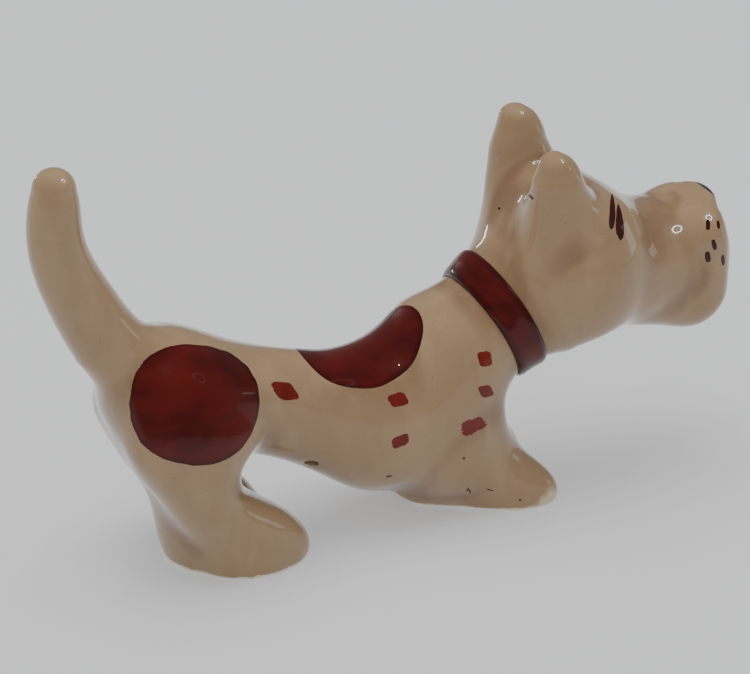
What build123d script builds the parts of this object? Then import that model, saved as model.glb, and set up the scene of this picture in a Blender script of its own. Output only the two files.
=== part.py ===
"""Ceramic dog figurine in a play bow: slip-cast pieces luted together, with painted decoration.

Millimetres.  The dog faces +X, its left side is +Y and it stands on Z = 0.
Each form is a function that can grow it: at 0 it is the outer shape of a casting, grown by minus
the wall it is the cavity, and grown by the paint it is the outside of a painted layer.  Castings,
joints and paint all follow the same sizes that way.
"""
import os
from math import cos, radians, sin

from build123d import *

# --- material -------------------------------------------------------------------------------------
WALL = 3.5                # thickness of the cast earthenware
PAINT = 0.4               # thickness of a painted layer

# --- body -----------------------------------------------------------------------------------------
BODY_LENGTH = 90.0        # from the haunch to the neck joint
HAUNCH_X = -61.0
RUMP_Z = 47.0             # middle of the rump above the ground
CHEST_Z = 27.5            # middle of the chest above the ground
RUMP_HALF_WIDTH = 20.0
WAIST_R = 14.0
CHEST_HALF_WIDTH = 19.0

# --- neck joint, under the collar -----------------------------------------------------------------
NECK_Z = 48.0
NECK_TILT = 27.0          # rise of the neck's axis, degrees
NECK_R = 15.8             # radius of the neck at the joint
NECK_LENGTH = 23.0        # from the joint to the middle of the head, along the neck
COLLAR_WIDTH = 7.4
COLLAR_RAISE = 0.9        # how far the collar stands out from the neck

# --- head -----------------------------------------------------------------------------------------
HEAD_R = 23.2
MUZZLE_LENGTH = 44.5      # from the middle of the head to the front of the muzzle
MUZZLE_DROP = 5.0         # middle of the muzzle below the middle of the head
MUZZLE_HALF_WIDTH = 15.0
MUZZLE_HALF_HEIGHT = 18.0
EAR_Y = 12.0              # ear tips from the middle of the head
EAR_TIP_R = 4.7
RIGHT_EAR_HEIGHT = 36.4   # top of the ear above the middle of the head
LEFT_EAR_HEIGHT = 40.6    # the left ear was set a little higher

# --- tail -----------------------------------------------------------------------------------------
TAIL_TOP = 108.8
TAIL_LEAN = 25.9          # how far the tip lies behind the haunch
TAIL_ROOT_R = 11.0
TAIL_TIP_R = 5.3

# --- legs -----------------------------------------------------------------------------------------
HAUNCH_R = 17.0
HAUNCH_HALF_WIDTH = 12.5
HAUNCH_DROP = 7.0         # middle of the haunch below the middle of the rump
HIND_Y = 9.5              # middle of a haunch from the middle of the body
FRONT_Y = 8.8             # middle of a front leg from the middle of the body

# --- vent hole in the belly, left by the pouring of the slip --------------------------------------
VENT_R = 1.8
VENT_Y = -7.5

# --- painted decoration: half length and half height of each mark ---------------------------------
HAUNCH_PATCH = (14.4, 13.1)
SADDLE_PATCH = (14.3, 10.6)
BROW = (5.2, 0.8)
EYE = (4.2, 1.1)
NOSE = (4.6, 3.2)

# --- worked out -----------------------------------------------------------------------------------
NECK_X = HAUNCH_X + BODY_LENGTH
HEAD_X = NECK_X + NECK_LENGTH * cos(radians(NECK_TILT))
HEAD_Z = NECK_Z + NECK_LENGTH * sin(radians(NECK_TILT))
MUZZLE_Z = HEAD_Z - MUZZLE_DROP
HAUNCH_Z = RUMP_Z - HAUNCH_DROP
REACH = 60.0              # long enough to pass right through any half of the body


def along_body(share):
    """X at a share of the way from the haunch to the neck joint."""
    return HAUNCH_X + share * BODY_LENGTH


def section_plane(x, z, tilt):
    """Plane across the body, facing forward and up by the tilt in degrees."""
    return Plane(origin=(x, 0, z), x_dir=(0, 1, 0), z_dir=(cos(radians(tilt)), 0, sin(radians(tilt))))


def neck_plane(along=0.0):
    """Plane across the neck, a distance along the neck's axis from the joint."""
    tilt = radians(NECK_TILT)
    return section_plane(NECK_X + along * cos(tilt), NECK_Z + along * sin(tilt), NECK_TILT)


def level_plane(x, y, z):
    """Level plane with its origin at a point."""
    return Plane(origin=(x, y, z), x_dir=(1, 0, 0), z_dir=(0, 0, 1))


# --- forms ----------------------------------------------------------------------------------------
def torso_form(grow=0.0):
    """Torso from the rump to the neck joint: share, z, tilt, half width and half height of ovals."""
    ovals = [
        (-0.167, RUMP_Z + 5.5, -25, RUMP_HALF_WIDTH * 0.45, 8.0),
        (-0.117, RUMP_Z + 3.5, -25, RUMP_HALF_WIDTH * 0.78, 13.0),
        (-0.006, RUMP_Z, -22, RUMP_HALF_WIDTH, 15.5),
        (0.128, RUMP_Z - 4.4, -21, (RUMP_HALF_WIDTH + WAIST_R) / 2 + 1.0, 14.2),
        (0.272, (RUMP_Z + CHEST_Z) / 2 + 1.0, -21, WAIST_R + 0.2, WAIST_R - 0.6),
        (0.417, CHEST_Z + 5.7, -20, WAIST_R, WAIST_R + 0.6),
        (0.550, CHEST_Z + 1.1, -13, (WAIST_R + CHEST_HALF_WIDTH) / 2, 18.4),
        (0.694, CHEST_Z, 0, CHEST_HALF_WIDTH, 22.5),
        (0.806, CHEST_Z + 5.0, 16, CHEST_HALF_WIDTH, 22.5),
        (0.894, (CHEST_Z + NECK_Z) / 2 + 2.4, 26, NECK_R + 1.4, NECK_R + 3.0),
    ]
    with BuildPart() as form:
        for share, z, tilt, half_width, half_height in ovals:
            with BuildSketch(section_plane(along_body(share), z, tilt)):
                Ellipse(half_width + grow, half_height + grow)
        with BuildSketch(neck_plane()):
            Circle(NECK_R + grow)
        loft()
    return form.part


def head_form(grow=0.0):
    """Ball of the head, the neck below it and the muzzle: share of the reach and half sizes."""
    boxes = [
        (0.18, MUZZLE_HALF_WIDTH - 1.0, MUZZLE_HALF_HEIGHT - 2.0),
        (0.36, MUZZLE_HALF_WIDTH - 1.2, MUZZLE_HALF_HEIGHT - 2.8),
        (0.55, MUZZLE_HALF_WIDTH - 0.9, MUZZLE_HALF_HEIGHT - 2.2),
        (0.74, MUZZLE_HALF_WIDTH, MUZZLE_HALF_HEIGHT),
        (0.86, MUZZLE_HALF_WIDTH, MUZZLE_HALF_HEIGHT),
        (0.95, MUZZLE_HALF_WIDTH * 0.84, MUZZLE_HALF_HEIGHT * 0.84),
        (1.00, MUZZLE_HALF_WIDTH * 0.50, MUZZLE_HALF_HEIGHT * 0.50),
    ]
    with BuildPart() as form:
        with Locations((HEAD_X, 0, HEAD_Z)):
            Sphere(HEAD_R + grow)
        with BuildSketch(neck_plane()):
            Circle(NECK_R + grow)
        with BuildSketch(neck_plane(NECK_LENGTH / 2)):
            Circle(NECK_R + 2.5 + grow)
        loft()
        for share, half_width, half_height in boxes:
            station = HEAD_X + share * (MUZZLE_LENGTH + grow)
            with BuildSketch(section_plane(station, MUZZLE_Z, 0)):
                width = 2 * (half_width + grow)
                RectangleRounded(width, 2 * (half_height + grow), 0.36 * width)
        loft()
        split(bisect_by=neck_plane(), keep=Keep.TOP)
    return form.part


def tail_form():
    """Tail: share of its height, distance behind the haunch, tilt and radius, and a ball for the tip."""
    root_z = RUMP_Z - 0.5
    tip_z = TAIL_TOP - TAIL_TIP_R
    rounds = [
        (0.00, 0.06, 130, TAIL_ROOT_R),
        (0.15, 0.33, 127, TAIL_ROOT_R * 0.93),
        (0.29, 0.57, 123, TAIL_ROOT_R * 0.82),
        (0.47, 0.78, 115, TAIL_ROOT_R * 0.74),
        (0.64, 0.94, 106, TAIL_ROOT_R * 0.67),
        (0.80, 1.015, 95, TAIL_ROOT_R * 0.61),
        (1.00, 1.00, 87, TAIL_TIP_R),
    ]
    with BuildPart() as form:
        for share, lean, tilt, radius in rounds:
            x = HAUNCH_X - lean * TAIL_LEAN
            z = root_z + share * (tip_z - root_z)
            with BuildSketch(section_plane(x, z, tilt)):
                Circle(radius)
        loft()
        with Locations((HAUNCH_X - TAIL_LEAN, 0, tip_z)):
            Sphere(TAIL_TIP_R)
    return form.part


def ear_form(height):
    """Left ear: level ovals by x, y and z from the middle of the head, and a ball for the tip."""
    tip = height - EAR_TIP_R
    ovals = [
        (-5.0, 9.5, 0.17 * HEAD_R, 14.5, 9.2),
        (-5.5, 10.5, 0.60 * HEAD_R, 12.5, 8.5),
        (-6.7, EAR_Y - 0.6, (0.60 * HEAD_R + tip) / 2, 9.9, 7.2),
        (-8.5, EAR_Y, tip, EAR_TIP_R, EAR_TIP_R),
    ]
    with BuildPart() as form:
        for x, y, z, half_length, half_width in ovals:
            with BuildSketch(level_plane(HEAD_X + x, y, HEAD_Z + z)):
                Ellipse(half_length, half_width)
        loft()
        with Locations((HEAD_X - 8.5, EAR_Y, HEAD_Z + tip)):
            Sphere(EAR_TIP_R)
    return form.part


def hind_leg_form(grow=0.0):
    """Left haunch, lower leg and foot: x from the haunch, share of its height and half sizes."""
    ovals = [
        (0.5, 1.05, 16.5, 11.5),
        (1.0, 0.80, 15.0, 11.5),
        (2.6, 0.60, 10.8, 11.3),
        (8.0, 0.425, 12.2, 10.6),
        (14.4, 0.25, 14.2, 10.0),
        (17.2, 0.10, 14.8, 9.6),
        (17.4, 0.0, 14.0, 8.8),
    ]
    with BuildPart() as form:
        with BuildSketch(level_plane(HAUNCH_X, HIND_Y, HAUNCH_Z)):
            Ellipse(HAUNCH_R + grow, HAUNCH_HALF_WIDTH + grow)
            with Locations((-2 * HAUNCH_R, 0)):
                Rectangle(4 * HAUNCH_R, 4 * HAUNCH_R, mode=Mode.SUBTRACT)
        revolve(axis=Axis((HAUNCH_X, HIND_Y, HAUNCH_Z), (0, 1, 0)))
        for x, share, half_length, half_width in ovals:
            with BuildSketch(level_plane(HAUNCH_X + x, HIND_Y + 1.5, share * HAUNCH_Z)):
                Ellipse(half_length + grow, half_width + grow)
        loft()
    return form.part


def front_leg_form(grow=0.0):
    """Left front leg and foot: x from the chest, share of its height, half sizes and turn."""
    ovals = [
        (10.5, 1.15, 15.0, 8.2, 0),
        (11.0, 0.76, 16.2, 9.4, 0),
        (16.0, 0.45, 16.5, 9.3, 10),
        (20.8, 0.18, 18.8, 8.4, 24),
        (20.4, 0.0, 18.8, 7.0, 26),
    ]
    chest_x = along_body(0.694)
    with BuildPart() as form:
        for x, share, half_length, half_width, turn in ovals:
            with BuildSketch(level_plane(chest_x + x, FRONT_Y, share * CHEST_Z)):
                Ellipse(half_length + grow, half_width + grow, rotation=turn)
        loft()
    return form.part


# --- castings -------------------------------------------------------------------------------------
torso_outside = torso_form()
head_outside = head_form()
tail_outside = tail_form()

vent_point = (along_body(0.39), VENT_Y, CHEST_Z - 4.5)
with BuildPart() as torso:
    add(torso_outside)
    add(torso_form(-WALL), mode=Mode.SUBTRACT)
    with BuildSketch(Plane(origin=vent_point, z_dir=(0.1, 0.62, 0.78))):
        Circle(VENT_R)
    extrude(amount=2.5 * WALL, both=True, mode=Mode.SUBTRACT)

with BuildPart() as head:
    add(head_outside)
    add(head_form(-WALL), mode=Mode.SUBTRACT)

with BuildPart() as tail:
    add(tail_outside)
    add(torso_outside, mode=Mode.SUBTRACT)

with BuildPart() as left_ear:
    add(ear_form(LEFT_EAR_HEIGHT))
    add(head_outside, mode=Mode.SUBTRACT)

with BuildPart() as right_ear:
    add(mirror(ear_form(RIGHT_EAR_HEIGHT), about=Plane.XZ, mode=Mode.PRIVATE))
    add(head_outside, mode=Mode.SUBTRACT)

with BuildPart() as left_hind_leg:
    add(hind_leg_form())
    add(torso_outside, mode=Mode.SUBTRACT)
    add(tail_outside, mode=Mode.SUBTRACT)
    split(bisect_by=Plane.XZ, keep=Keep.BOTTOM)

with BuildPart() as left_front_leg:
    add(front_leg_form())
    add(torso_outside, mode=Mode.SUBTRACT)
    split(bisect_by=Plane.XZ, keep=Keep.BOTTOM)

with BuildPart() as right_hind_leg:
    add(mirror(left_hind_leg.part, about=Plane.XZ, mode=Mode.PRIVATE))

with BuildPart() as right_front_leg:
    add(mirror(left_front_leg.part, about=Plane.XZ, mode=Mode.PRIVATE))

# Collar: a raised band laid round the neck over the joint.
with BuildPart() as collar:
    add(torso_form(COLLAR_RAISE))
    add(head_form(COLLAR_RAISE))
    split(bisect_by=neck_plane(-COLLAR_WIDTH / 2), keep=Keep.TOP)
    split(bisect_by=neck_plane(COLLAR_WIDTH / 2), keep=Keep.BOTTOM)
    add(torso_outside, mode=Mode.SUBTRACT)
    add(head_outside, mode=Mode.SUBTRACT)

# --- painted layers -------------------------------------------------------------------------------
# The shell between a form and the same form grown by the paint; each mark is cut out of it.
with BuildPart() as torso_skin:
    add(torso_form(PAINT))
    add(torso_outside, mode=Mode.SUBTRACT)

with BuildPart() as left_chest_skin:
    add(torso_form(PAINT))
    add(front_leg_form(PAINT))
    add(torso_outside, mode=Mode.SUBTRACT)
    add(front_leg_form(), mode=Mode.SUBTRACT)

with BuildPart() as head_skin:
    add(head_form(PAINT))
    add(head_outside, mode=Mode.SUBTRACT)

with BuildPart() as left_rump_skin:
    add(torso_form(PAINT))
    add(hind_leg_form(PAINT))
    add(torso_outside, mode=Mode.SUBTRACT)
    add(hind_leg_form(), mode=Mode.SUBTRACT)
    add(tail_outside, mode=Mode.SUBTRACT)

with BuildPart() as left_haunch_patch:
    patch_point = (HAUNCH_X + 1.1, 18.5, RUMP_Z + 4.5)
    with BuildSketch(Plane(origin=patch_point, x_dir=(1, 0, 0), z_dir=(0, 0.8, 0.6))):
        Ellipse(*HAUNCH_PATCH, rotation=-4)
    extrude(amount=14.0, both=True)
    add(left_rump_skin.part, mode=Mode.INTERSECT)

with BuildPart() as saddle_patch:
    with BuildSketch(Plane.XZ):
        with Locations((along_body(0.58), CHEST_Z + 22.9)):
            Ellipse(*SADDLE_PATCH, rotation=11)
    extrude(amount=REACH, both=True)
    add(torso_skin.part, mode=Mode.INTERSECT)


def stroke(start, end, outward, half_sizes):
    """Brush stroke on the left of the head, from one point to another, cut along the outward way."""
    start, end, outward = Vector(*start), Vector(*end), Vector(*outward)
    run = (end - start).normalized()
    outward = (outward - run * outward.dot(run)).normalized()
    with BuildPart() as layer:
        with BuildSketch(Plane(origin=(start + end) * 0.5, x_dir=run, z_dir=outward)):
            Ellipse(*half_sizes)
        extrude(amount=8.0, both=True)
        add(head_skin.part, mode=Mode.INTERSECT)
    return layer


def dabs(skin, marks):
    """Brush dabs on the left side: x, z, length, height and turn of each."""
    with BuildPart() as layer:
        for x, z, length, height, turn in marks:
            with BuildSketch(Plane.XZ):
                with Locations((x, z)):
                    RectangleRounded(length, height, 0.3 * min(length, height), rotation=turn)
            extrude(amount=-REACH)
        add(skin.part, mode=Mode.INTERSECT)
    return layer


muzzle_x = HEAD_X + MUZZLE_LENGTH
left_brow = stroke(
    (HEAD_X + 9.4, 8.0, HEAD_Z + 20.5), (HEAD_X + 3.4, 17.0, HEAD_Z + 15.4), (0.25, 0.6, 0.75), BROW)
left_eye = stroke(
    (HEAD_X + 9.2, 11.4, HEAD_Z + 18.3), (HEAD_X + 5.4, 18.2, HEAD_Z + 13.2), (0.30, 0.6, 0.72), EYE)
left_flank_spot = dabs(torso_skin, [(along_body(0.291), CHEST_Z + 18.0, 6.8, 4.2, -22)])
left_shoulder_spots = dabs(torso_skin, [
    (along_body(0.616), CHEST_Z + 10.3, 4.6, 3.6, 14),
    (along_body(0.608), CHEST_Z + 0.2, 4.6, 3.0, 24),
])
left_chest_spots = dabs(left_chest_skin, [
    (along_body(0.879), CHEST_Z + 17.0, 3.6, 4.4, 8),
    (along_body(0.875), CHEST_Z + 8.9, 3.8, 3.4, 10),
    (along_body(0.831), CHEST_Z + 0.2, 6.4, 4.2, 24),
])
left_whisker_dots = dabs(head_skin, [
    (muzzle_x - 9.8, MUZZLE_Z + 13.6, 1.4, 3.0, 4),
    (muzzle_x - 6.6, MUZZLE_Z + 12.6, 1.3, 2.4, 10),
    (muzzle_x - 8.8, MUZZLE_Z + 8.6, 1.7, 3.0, 14),
    (muzzle_x - 10.6, MUZZLE_Z + 5.6, 1.8, 3.2, 8),
    (muzzle_x - 5.6, MUZZLE_Z + 3.8, 1.6, 3.0, 4),
])

with BuildPart() as nose:
    with BuildSketch(section_plane(muzzle_x - 6.0, MUZZLE_Z + 12.6, 48)):
        Ellipse(*NOSE)
    extrude(amount=12.0, both=True)
    add(head_skin.part, mode=Mode.INTERSECT)

# --- writing out ----------------------------------------------------------------------------------
pieces = {
    "torso": torso,
    "head": head,
    "tail": tail,
    "left_ear": left_ear,
    "right_ear": right_ear,
    "left_hind_leg": left_hind_leg,
    "right_hind_leg": right_hind_leg,
    "left_front_leg": left_front_leg,
    "right_front_leg": right_front_leg,
    "collar": collar,
    "saddle_patch": saddle_patch,
    "nose_patch": nose,
}

left_marks = {
    "haunch_patch": left_haunch_patch,
    "flank_spot": left_flank_spot,
    "shoulder_spots": left_shoulder_spots,
    "chest_spots": left_chest_spots,
    "brow": left_brow,
    "eye": left_eye,
    "whisker_dots": left_whisker_dots,
}
for name, mark in left_marks.items():
    pieces["left_" + name] = mark
    with BuildPart() as right_mark:
        add(mirror(mark.part, about=Plane.XZ, mode=Mode.PRIVATE))
    pieces["right_" + name] = right_mark

os.makedirs("parts", exist_ok=True)
for name, piece in pieces.items():
    piece.part.label = name
    export_step(piece.part, "parts/" + name + ".step")
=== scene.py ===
"""Glazed ceramic dog in a play bow: one faired clay skin, parted into its castings, with painted marks."""

from math import atan2, cos, radians, sin, sqrt

import bmesh
import bpy
import numpy as np
from bpy.props import FloatProperty, FloatVectorProperty, IntProperty, PointerProperty
from mathutils import Matrix, Vector, noise
from mathutils.bvhtree import BVHTree


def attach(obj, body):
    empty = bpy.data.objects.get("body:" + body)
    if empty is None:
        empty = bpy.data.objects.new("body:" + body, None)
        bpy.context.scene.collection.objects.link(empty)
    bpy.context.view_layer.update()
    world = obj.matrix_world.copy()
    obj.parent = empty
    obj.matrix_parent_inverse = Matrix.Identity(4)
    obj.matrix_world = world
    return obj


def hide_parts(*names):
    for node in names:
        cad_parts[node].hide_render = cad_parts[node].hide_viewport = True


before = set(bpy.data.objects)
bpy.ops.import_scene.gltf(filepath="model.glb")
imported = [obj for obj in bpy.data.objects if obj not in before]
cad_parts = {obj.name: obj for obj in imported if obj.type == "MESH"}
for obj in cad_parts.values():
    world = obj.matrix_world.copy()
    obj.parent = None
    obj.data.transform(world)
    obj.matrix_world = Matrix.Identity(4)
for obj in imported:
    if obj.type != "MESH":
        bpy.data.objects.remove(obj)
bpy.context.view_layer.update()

bl_info = {
    "name": "Ceramic Dog",
    "version": (1, 0, 0),
    "blender": (4, 5, 0),
    "location": "3D View > Sidebar > Ceramic Dog",
    "description": "Builds a glazed ceramic dog in a play bow, with its painted marks and its stage",
    "category": "Add Mesh",
}

MM = 0.001
CASTINGS = (
    "torso", "head", "tail", "left_ear", "right_ear",
    "left_hind_leg", "right_hind_leg", "left_front_leg", "right_front_leg",
)
LEFT, RIGHT = 1, -1
SIDES = {"one": (LEFT,), "both": (LEFT, RIGHT)}

# Main points of the form, in millimetres: the same ones as the castings have.
NECK = Vector((29.0, 0.0, 48.0))
NECK_TILT = radians(27.0)
NECK_AXIS = Vector((cos(NECK_TILT), 0.0, sin(NECK_TILT)))
HEAD = Vector((49.493, 0.0, 58.442))

# What the operators make for each other: the finishes and the skin.
shared = {}


def mm(x, y, z):
    """Point given in millimetres, in metres."""
    return Vector((x, y, z)) * MM


# --- sizes and colours ----------------------------------------------------------------------------
def colour(name, description, value):
    """Colour property with its default."""
    return FloatVectorProperty(
        name=name, description=description, subtype="COLOR", size=3, min=0.0, max=1.0, default=value)


def length(name, description, value):
    """Length property with its default in metres."""
    return FloatProperty(name=name, description=description, unit="LENGTH", precision=5, default=value)


def power(name, description, value):
    """Lamp power property with its default in watts."""
    return FloatProperty(name=name, description=description, unit="POWER", min=0.0, default=value)


def strength(name, description, value):
    """Brightness property with its default."""
    return FloatProperty(name=name, description=description, min=0.0, default=value)


class ClaySizes(bpy.types.PropertyGroup):
    """How the clay is smoothed over its joints."""
    cell: length("Cell", "Size of the skin's cells", 0.8 * MM)
    filling: IntProperty(name="Filling", description="Passes that fill the creases", default=110, min=0)
    smoothing: IntProperty(name="Smoothing", description="Passes that smooth the skin", default=14, min=0)
    vent_radius: length("Vent radius", "Radius of the vent hole in the belly", 1.8 * MM)
    vent_depth: length("Vent depth", "Depth of the vent hole", 7.0 * MM)


class PaintSizes(bpy.types.PropertyGroup):
    """How thick the painted marks and the collar are."""
    lift: length("Lift", "How far paint stands above the clay", 0.05 * MM)
    thickness: length("Thickness", "Thickness of a painted layer", 0.3 * MM)
    collar_width: length("Collar width", "Width of the collar along the neck", 7.2 * MM)
    collar_raise: length("Collar raise", "How far the collar stands out from the neck", 0.45 * MM)


class GlazeColours(bpy.types.PropertyGroup):
    """Colours of the glazed clay."""
    tan: colour("Tan", "Main colour of the glaze", (0.236, 0.141, 0.073))
    pink: colour("Pink", "Warm clouds in the glaze", (0.232, 0.131, 0.071))
    olive: colour("Olive", "Cool clouds where the glaze is thick", (0.198, 0.129, 0.070))
    thin: colour("Thin", "Glaze where it runs thin over edges", (0.370, 0.250, 0.142))
    clay: colour("Clay", "Bare clay of the foot rims", (0.760, 0.680, 0.520))


class PaintColours(bpy.types.PropertyGroup):
    """Colours of the painted marks."""
    red: colour("Red-brown", "Thin strokes of the patches", (0.098, 0.007, 0.0045))
    bright: colour("Bright", "Paint of the small spots", (0.180, 0.016, 0.010))
    deep_red: colour("Deep red-brown", "Thick strokes of the patches", (0.040, 0.003, 0.003))
    line: colour("Line", "Thin lines of the face", (0.040, 0.008, 0.006))
    nose: colour("Nose", "Thin paint of the nose", (0.030, 0.036, 0.050))
    deep_nose: colour("Deep nose", "Thick paint of the nose", (0.012, 0.014, 0.020))


class StageSettings(bpy.types.PropertyGroup):
    """Floor, air and lamps."""
    floor: colour("Floor", "Colour of the floor", (0.480, 0.484, 0.498))
    floor_glow: strength("Floor glow", "Light from the floor itself", 0.30)
    air: strength("Air", "Strength of the light from all round", 0.74)
    air_in_gloss: strength("Air in gloss", "Strength of the air as the glaze mirrors it", 0.16)
    overhead: power("Overhead", "Power of the overhead lamp", 8.0)
    window: power("Window", "Power of the lamp behind the camera", 1.0)
    far_window: power("Far window", "Power of the window mirrored on the haunch", 0.35)
    side_window: power("Side window", "Power of the window mirrored on the muzzle", 0.18)
    spark: power("Spark", "Power of the small lamp mirrored as a point", 0.30)
    ring: strength("Ring", "Brightness of the ring lamp", 40.0)


# --- shader building ------------------------------------------------------------------------------
class Wire:
    """A socket whose arithmetic adds Math nodes."""

    def __init__(self, finish, socket):
        self.finish = finish
        self.socket = socket

    def _math(self, operation, *values):
        return self.finish.node("ShaderNodeMath", {"operation": operation}, dict(enumerate(values)))

    def __add__(self, other):
        return self._math("ADD", self, other)

    def __radd__(self, other):
        return self._math("ADD", other, self)

    def __sub__(self, other):
        return self._math("SUBTRACT", self, other)

    def __rsub__(self, other):
        return self._math("SUBTRACT", other, self)

    def __mul__(self, other):
        return self._math("MULTIPLY", self, other)

    def __rmul__(self, other):
        return self._math("MULTIPLY", other, self)

    def __pow__(self, other):
        return self._math("POWER", self, other)

    def at_most(self, other):
        """The smaller of the two."""
        return self._math("MINIMUM", self, other)

    def rise(self, low, high):
        """0 below low, 1 above high and smooth between; high below low turns it round."""
        settings = {"interpolation_type": "SMOOTHSTEP"}
        return self.finish.node("ShaderNodeMapRange", settings, {0: self, 1: low, 2: high, 3: 0.0, 4: 1.0})


class Finish:
    """A material under construction."""

    def __init__(self, name):
        self.material = bpy.data.materials.new(name)
        self.material.use_nodes = True
        self.nodes = self.material.node_tree.nodes
        self.links = self.material.node_tree.links
        self.shader = next(n for n in self.nodes if n.type == "BSDF_PRINCIPLED")
        self.place = self.node("ShaderNodeTexCoord", {}, {}, "Object")

    def _feed(self, socket, value):
        if isinstance(value, Wire):
            self.links.new(value.socket, socket)
        else:
            socket.default_value = value

    def node(self, kind, settings, inputs, output=0):
        """Adds a node: its settings first, then the values or wires of its sockets."""
        made = self.nodes.new(kind)
        for name, value in settings.items():
            setattr(made, name, value)
        for key, value in inputs.items():
            self._feed(made.inputs[key], value)
        return Wire(self, made.outputs[output])

    def mix(self, factor, first, second):
        """Colour between two colours."""
        first, second = (tuple(c) + (1.0,) if not isinstance(c, Wire) else c for c in (first, second))
        return self.node("ShaderNodeMix", {"data_type": "RGBA"}, {0: factor, 6: first, 7: second}, 2)

    def cloud(self, size, detail=2.0, roughness=0.5, stretch=(1.0, 1.0, 1.0), shift=0.0):
        """Noise with blotches about as large as size, in metres."""
        scale = tuple(s / size for s in stretch)
        placing = {"Vector": self.place, "Scale": scale, "Location": (shift,) * 3}
        spot = self.node("ShaderNodeMapping", {}, placing)
        grain = {"Vector": spot, "Scale": 1.0, "Detail": detail, "Roughness": roughness}
        return self.node("ShaderNodeTexNoise", {}, grain)

    def axis(self, output):
        """X, Y or Z of the place, in metres."""
        return self.node("ShaderNodeSeparateXYZ", {}, {0: self.place}, output)

    def reading(self, name):
        """Value painted on the piece's own points."""
        return self.node("ShaderNodeAttribute", {"attribute_name": name}, {}, "Fac")

    def set(self, **values):
        """Feeds the shader's sockets; underscores stand for spaces."""
        for name, value in values.items():
            self._feed(self.shader.inputs[name.replace("_", " ")], value)

    def bump(self, height, distance, strength=1.0):
        """Gives the shader a relief: height from 0 to 1 over a distance in metres."""
        inputs = {"Height": height, "Distance": distance, "Strength": strength}
        self.set(Normal=self.node("ShaderNodeBump", {}, inputs, "Normal"))


# Glazes and paints: gloss of the clear coat, and the slight waviness of its surface.
COAT_ROUGHNESS = 0.03
COAT_IOR = 1.34
PEEL_SIZE = 5.5 * MM
PEEL_DEPTH = 0.10 * MM
PEEL_STRENGTH = 0.55
SPECK_BROWN = (0.13, 0.065, 0.035)
# Bare foot rims: the height where the glaze is whole, and the height where it is gone.
GLAZED_ABOVE = 1.05 * MM
BARE_BELOW = 0.55 * MM
# Worn spot on the right front toe: its place, and the reach of bare and of whole glaze.
TOE_X = 36.5 * MM
TOE_Y = -19.5 * MM
WORN_REACH = 4.8 * MM
WHOLE_REACH = 7.5 * MM
WORN_CREAM = (0.60, 0.52, 0.36)


def glazed_clay():
    """Tan glaze with cloudy tone, pooled in hollows, thin on edges, and bare at the foot rims."""
    tones = bpy.context.scene.glaze_colours
    finish = Finish("tan_glaze")
    broad = finish.cloud(34 * MM, 2.0, 0.55)
    middle = finish.cloud(11 * MM, 3.0, 0.6, shift=3.1)
    fine = finish.cloud(2.2 * MM, 3.0, 0.6, shift=7.7)
    speck = finish.cloud(0.9 * MM, 1.0, 0.5, shift=1.7)
    pooled = finish.reading("pooling")
    runs = finish.cloud(7.0 * MM, 2.0, 0.5, stretch=(1.0, 1.0, 0.30), shift=12.0)
    body = finish.mix(broad.rise(0.36, 0.64), tones.tan, tones.pink)
    body = finish.mix(0.40 * middle.rise(0.38, 0.72), body, tones.olive)
    body = finish.mix(0.48 * runs.rise(0.42, 0.74), body, tones.thin)
    body = finish.mix(0.10 * pooled.rise(0.55, 1.0), body, tones.olive)
    body = finish.mix(0.55 * pooled.rise(0.45, 0.05) + 0.12 * fine.rise(0.5, 0.8), body, tones.thin)
    body = finish.mix(0.40 * speck.rise(0.72, 0.80), body, SPECK_BROWN)
    height = finish.axis("Z")
    ragged = finish.cloud(2.4 * MM, 2.0, 0.6, shift=4.2)
    bare = (height + (ragged - 0.5) * (1.5 * MM)).rise(GLAZED_ABOVE, BARE_BELOW)
    worn = finish.cloud(6.0 * MM, 3.0, 0.6, shift=9.0)
    toe_x = finish.axis("X") - TOE_X
    toe_y = finish.axis("Y") - TOE_Y
    toe = (toe_x * toe_x + toe_y * toe_y) ** 0.5 + (worn - 0.5) * (9.0 * MM) + height * 0.9
    starved = toe.rise(WHOLE_REACH, WORN_REACH)
    body = finish.mix(0.85 * starved, body, WORN_CREAM)
    colour_out = finish.mix(bare, body, tones.clay)
    finish.set(
        Base_Color=colour_out,
        Roughness=0.30 + 0.50 * bare + 0.05 * fine,
        Coat_Weight=1.0 - bare,
        Coat_Roughness=COAT_ROUGHNESS,
        Coat_IOR=COAT_IOR,
        Specular_IOR_Level=0.15,
    )
    peel = finish.cloud(PEEL_SIZE, 2.0, 0.5, shift=5.5)
    grain = finish.cloud(0.5 * MM, 2.0, 0.6, shift=2.5)
    finish.bump(peel * (1.0 - bare) + 0.35 * (grain * bare), PEEL_DEPTH, PEEL_STRENGTH)
    return finish.material


def brushed_paint(name, thin, thick, streak, rim):
    """Paint under a clear glaze: brush streaks, thicker at the border of each stroke."""
    finish = Finish(name)
    along = finish.cloud(11.0 * MM, 2.0, 0.5, stretch=streak, shift=6.0)
    blot = finish.cloud(13.0 * MM, 2.0, 0.5, shift=2.0)
    fine = finish.cloud(0.8 * MM, 2.0, 0.6, shift=8.0)
    edge = finish.reading("edge")
    load = 0.50 * along.rise(0.30, 0.72) + 0.40 * blot.rise(0.30, 0.70) + rim * edge.rise(0.90, 0.98)
    body = finish.mix(load.at_most(1.0), thin, thick)
    body = finish.mix(0.15 * fine.rise(0.55, 0.75), body, thin)
    finish.set(
        Base_Color=body,
        Roughness=0.28 + 0.08 * blot,
        Coat_Weight=0.6,
        Coat_Roughness=COAT_ROUGHNESS,
        Coat_IOR=COAT_IOR,
        Specular_IOR_Level=0.12,
    )
    finish.bump(finish.cloud(PEEL_SIZE, 2.0, 0.5, shift=5.5), PEEL_DEPTH, PEEL_STRENGTH)
    return finish.material


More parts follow.
